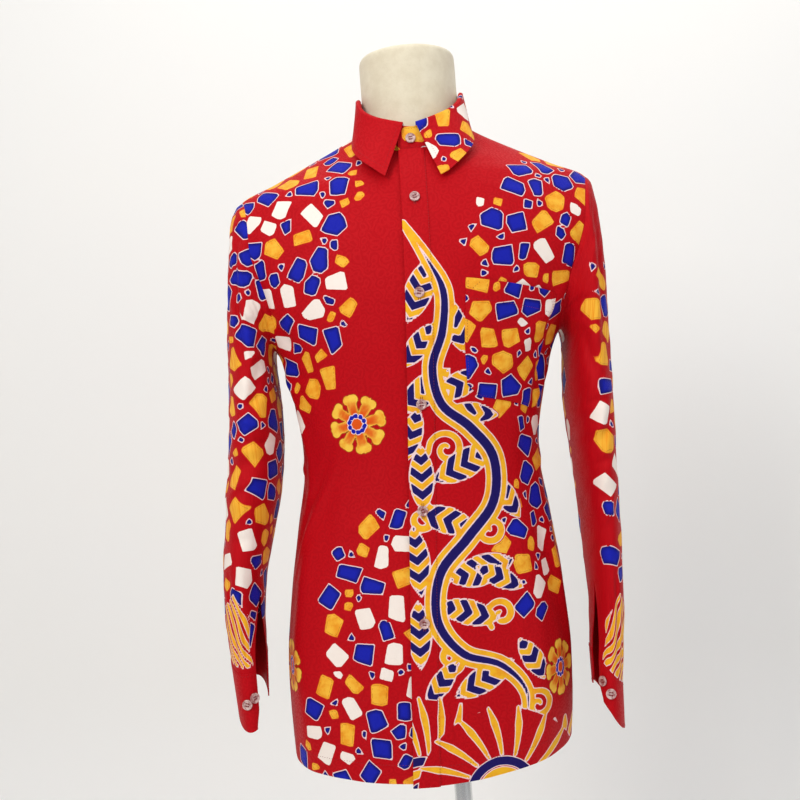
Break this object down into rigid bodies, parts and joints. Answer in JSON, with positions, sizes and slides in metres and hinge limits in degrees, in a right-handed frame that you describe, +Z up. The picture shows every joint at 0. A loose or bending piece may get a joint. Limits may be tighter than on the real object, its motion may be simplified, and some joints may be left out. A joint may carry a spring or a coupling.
{
  "type": "batik shirt on dress form",
  "caption": "Long-sleeved batik shirt with a turned-down collar, chest pocket and open cuffs, buttoned up on a limbless dress form on a pole and round base.",
  "frame": {"origin": "middle of the round base's underside, on the floor", "axes": "+Z up, the shirt's front faces -Y, +X is the wearer's left"},
  "size_m": [0.4741, 0.33, 1.4598],
  "materials": {
    "printed_cloth": "smooth cotton with a woven figure, resist printed in red, blue, yellow and white",
    "plain_cloth": "the same cotton, plain red",
    "button_pearl": "polished, pearly",
    "form_linen": "plain natural linen, stretched tight",
    "stand_metal": "bright plated steel"
  },
  "bodies": {
    "root": {"front_left": "printed_cloth", "front_right": "printed_cloth", "back": "printed_cloth", "button_band": "printed_cloth", "chest_pocket": "printed_cloth", "collar_stand": "printed_cloth", "collar": "printed_cloth", "sleeve_left": "printed_cloth", "cuff_left": "plain_cloth", "sleeve_right": "printed_cloth", "cuff_right": "plain_cloth", "button_front_1": "button_pearl", "button_front_2": "button_pearl", "button_front_3": "button_pearl", "button_front_4": "button_pearl", "button_front_5": "button_pearl", "button_collar": "button_pearl", "button_cuff_left_1": "button_pearl", "button_cuff_left_2": "button_pearl", "button_cuff_right_1": "button_pearl", "button_cuff_right_2": "button_pearl", "form": "form_linen", "form_socket": "stand_metal", "pole": "stand_metal", "base": "stand_metal"}
  },
  "joints": []
}
